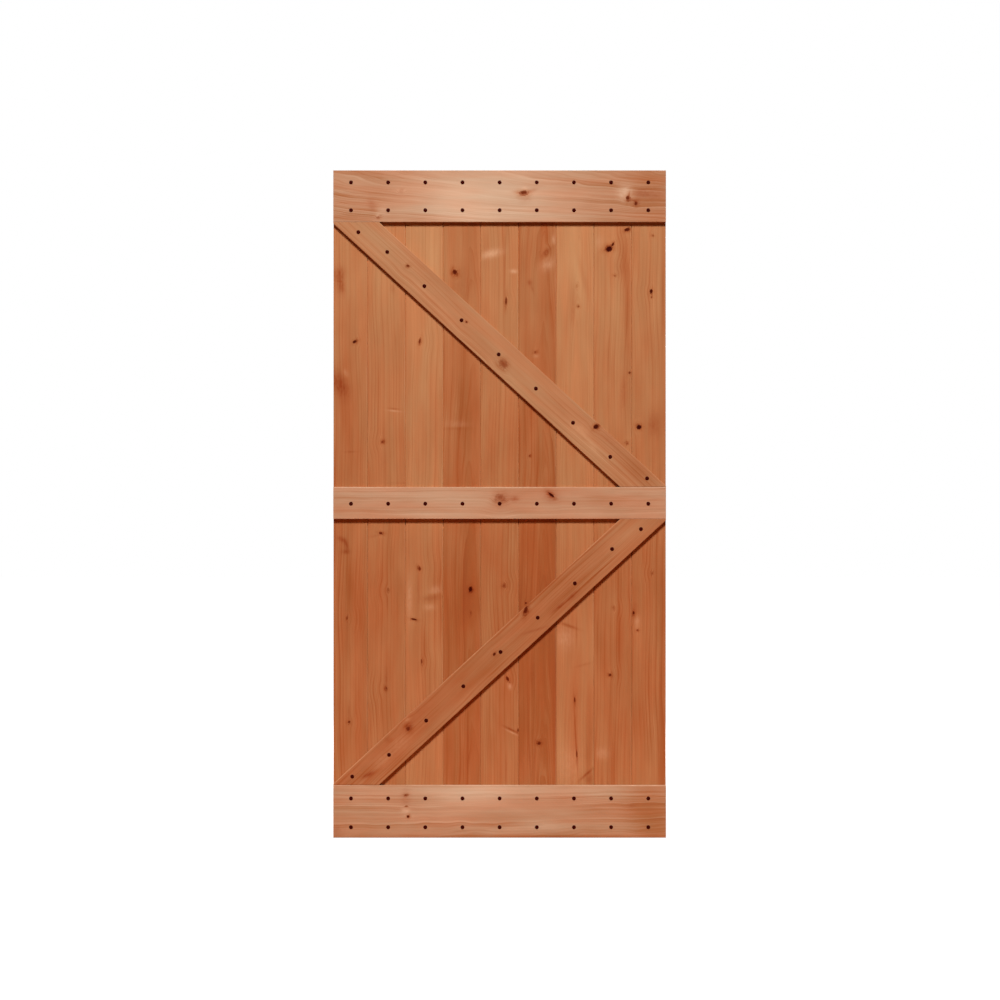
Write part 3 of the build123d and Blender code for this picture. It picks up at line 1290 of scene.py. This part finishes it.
def brace_slope(low, high):
    """Rise over run of a brace whose tips fill two opposite corners of a field.

    The heels at the tips come off the field's height. The angle is then the angle of the diagonal, plus
    the one whose sine is the brace's width over the diagonal.
    """
    rise = high - low - 2 * brace_heel
    lean = math.atan2(rise, 2 * door_half) + math.asin(brace_width / math.hypot(rise, 2 * door_half))
    return math.tan(lean)


for name in ("top_rail", "mid_rail", "bottom_rail"):
    make_board(name, (1, 0), 1.0, *sloping_edges(0, 1, 0, math.inf), "rail_wood")

for name, side in brace_head_side.items():
    low, high = heights(name)
    slope = brace_slope(low, high)
    lean = math.atan(slope)
    along = (math.cos(lean), side * math.sin(lean))
    half_width = door_half - ((high - low) / 2 - brace_heel) / slope
    edges = sloping_edges(side, slope, (low + high) / 2, half_width)
    make_board(name, along, 1 / math.sin(lean), *edges, "brace_wood")
    print(name, "slope:", round(slope, 3))

# %% [markdown]
# ## Nails
# Each board is nailed to every plank that it crosses. The nails have square shanks and forged heads, with
# a few hammered facets and a black finish. A head could be a turned dome, but hammering leaves flats. So
# it is a grid of rings and angles whose height is what the deepest of the facets leaves. The rings go on
# over the rim and down the shank to the point, so each nail is closed.

# %% Shape of the nails
head_radius = 6.25 * mm
head_rim = 0.9 * mm
head_crown = 1.1 * mm
rim_ease = 0.75
shank_half = 1.6 * mm
nail_length = 31.0 * mm
point_length = 6.0 * mm
point_half = 0.5 * mm
angle_count = 24
facet_count = 5
facet_waver = 0.2
facet_flat = 0.6
outline_dip = 0.04
outline_waver = 0.02
ring_shares = np.array([0.18, 0.42, 0.66, 0.86, 0.97])
chance = np.random.default_rng(11)


def head_rings(count):
    """Radius and height of the head's rings for all nails: ring share times a slightly uneven outline.

    The height is the rim, plus the crown less the deepest facet there. A facet is a plane that falls
    away from the middle in its own direction, so its depth is the share times the cosine of the angle to it.
    """
    angles = np.arange(angle_count) * 2 * math.pi / angle_count
    turns = chance.uniform(0, 2 * math.pi, (count, 1, 1))
    facets = np.arange(facet_count) * 2 * math.pi / facet_count
    facets = facets + chance.uniform(-facet_waver, facet_waver, (count, facet_count))
    facets = facets[:, :, None] + turns
    toward = np.cos(angles[None, None, :] - facets).max(axis=1)[:, None, :]
    outline = 1 - outline_dip * (1 - toward) - chance.uniform(0, outline_waver, (count, 1, 1))
    shares = ring_shares[None, :, None]
    radius = head_radius * shares * outline
    height = head_rim + head_crown * np.minimum((1 - shares * toward) / facet_flat, 1)
    return angles, outline, radius, height


def nail_rings(count):
    """All rings of the nails, from the crown over the rim and down the shank: x, z and height.

    A square ring's radius is half its side over the larger of the angle's cosine and sine.
    """
    angles, outline, radius, height = head_rings(count)
    square = 1 / np.maximum(np.abs(np.cos(angles)), np.abs(np.sin(angles)))
    rim = head_radius * outline
    shank = np.broadcast_to(shank_half * square, rim.shape)
    all_radius = np.concatenate([radius, rim, rim, shank, shank, shank], axis=1)
    levels = [rim_ease * head_rim, 0, 0, point_length - nail_length, -nail_length]
    lower = np.broadcast_to(np.array(levels)[None, :, None], (count, len(levels), angle_count))
    all_height = np.concatenate([height, lower], axis=1)
    x = all_radius * np.cos(angles)
    z = all_radius * np.sin(angles)
    x[:, -1] *= point_half / shank_half
    return x, z, all_height


# %% [markdown]
# The iron is blackened by the forge and a little brown with age. A fine noise gives the hammered skin its
# bump, and a wider one lets the brown through in places.

# %% Blackened iron
bloom_scale = 420.0
skin_scale = 1500.0
bloom_fade = (0.4, 0.7)
iron_black = colour(54, 5, 1)
iron_brown = colour(70, 10, 2)
iron_gloss = 0.03
iron_roughness = 0.45
skin_roughness = 0.2
skin_height = 0.2 * mm

iron, tree, surface = new_material("blackened_iron")
places = flow(tree, "TexCoord", output="Object")
bloom = flow(tree, "TexNoise", {"Vector": places, "Scale": bloom_scale, "Detail": 3.0})
skin = flow(tree, "TexNoise", {"Vector": places, "Scale": skin_scale, "Detail": 2.0})
bump = flow(tree, "Bump", {"Strength": bump_strength, "Distance": skin_height, "Height": skin})
put_in(surface, flow(tree, "BsdfPrincipled", {
    "Base Color": blend(fade(bloom, *bloom_fade), iron_black, iron_brown),
    "Roughness": skin * skin_roughness + iron_roughness,
    "Metallic": 0.0,
    "Specular IOR Level": iron_gloss,
    "Normal": bump,
}))
print("iron:", len(tree.nodes), "nodes")


# %% Nails of a board
nail_sharp_angle = 40


def make_nails(name, places):
    """The nails of one board as one piece, with a middle point closing each crown and each tip."""
    at_x, at_z = np.array(places).T
    count = at_x.size
    x, z, height = nail_rings(count)
    rings = np.stack([at_x[:, None, None] + x, board_front - height, at_z[:, None, None] + z], axis=-1)
    crown_level = np.full(count, board_front - head_rim - head_crown)
    tip_level = np.full(count, board_front + nail_length)
    crown = np.stack([at_x, crown_level, at_z], axis=1)
    tip = np.stack([at_x, tip_level, at_z], axis=1)
    points = np.concatenate([rings.reshape(-1, 3), crown, tip])

    index = np.arange(height.size).reshape(height.shape)
    index = np.concatenate([index, index[:, :, :1]], axis=2)
    faces = quads(index.swapaxes(1, 2)).tolist()
    crowns = np.broadcast_to((height.size + np.arange(count))[:, None], (count, angle_count))
    faces += np.stack([crowns, index[:, 0, :-1], index[:, 0, 1:]], axis=-1).reshape(-1, 3).tolist()
    tips = crowns + count
    faces += np.stack([tips, index[:, -1, 1:], index[:, -1, :-1]], axis=-1).reshape(-1, 3).tolist()
    add_piece(name, "forged", iron, points, faces, {}, nail_sharp_angle)


# %% Nails on every board
nail_side_inset = 56.5 * mm
nail_row_drop = 2.2 * mm
rail_nail_outer_inset = 36.0 * mm
rail_nail_inner_inset = 40.0 * mm
brace_nail_shift = 2.9 * mm
brace_head_nail_inset = 80.0 * mm
brace_head_nail_drop = 32.0 * mm
brace_foot_nail_inset = 60.5 * mm
brace_foot_nail_rise = 27.5 * mm
nail_columns = np.linspace(nail_side_inset - door_half, door_half - nail_side_inset, plank_count)


def nail_row(level):
    """One nail in every plank, all at one height: the drop below the level that they are set out from."""
    return [(column, level - nail_row_drop) for column in nail_columns]


def brace_nails(name):
    """Nails along a brace's middle in the inner planks, a little towards its head, and one at each tip."""
    low, high = heights(name)
    side = brace_head_side[name]
    slope = brace_slope(low, high)
    middle_level = (low + high) / 2 - nail_row_drop
    shifted = nail_columns[1:-1] + side * brace_nail_shift
    middle = [(column, middle_level + side * slope * column) for column in shifted]
    head = (side * (door_half - brace_head_nail_inset), high - brace_head_nail_drop)
    foot = (side * (brace_foot_nail_inset - door_half), low + brace_foot_nail_rise)
    return [head, *middle, foot]


def rail_nails(name, low_inset, high_inset):
    """Two rows of nails along a wide rail, set out from its lower and upper edge: the upper row first."""
    low, high = heights(name)
    return nail_row(high - high_inset) + nail_row(low + low_inset)


nail_places = {
    "top_rail": rail_nails("top_rail", rail_nail_inner_inset, rail_nail_outer_inset),
    "mid_rail": nail_row(sum(heights("mid_rail")) / 2),
    "bottom_rail": rail_nails("bottom_rail", rail_nail_outer_inset, rail_nail_inner_inset),
    "upper_brace": brace_nails("upper_brace"),
    "lower_brace": brace_nails("lower_brace"),
}
for name, places in nail_places.items():
    make_nails(f"{name}_nails", places)
print("nails:", sum(len(places) for places in nail_places.values()))
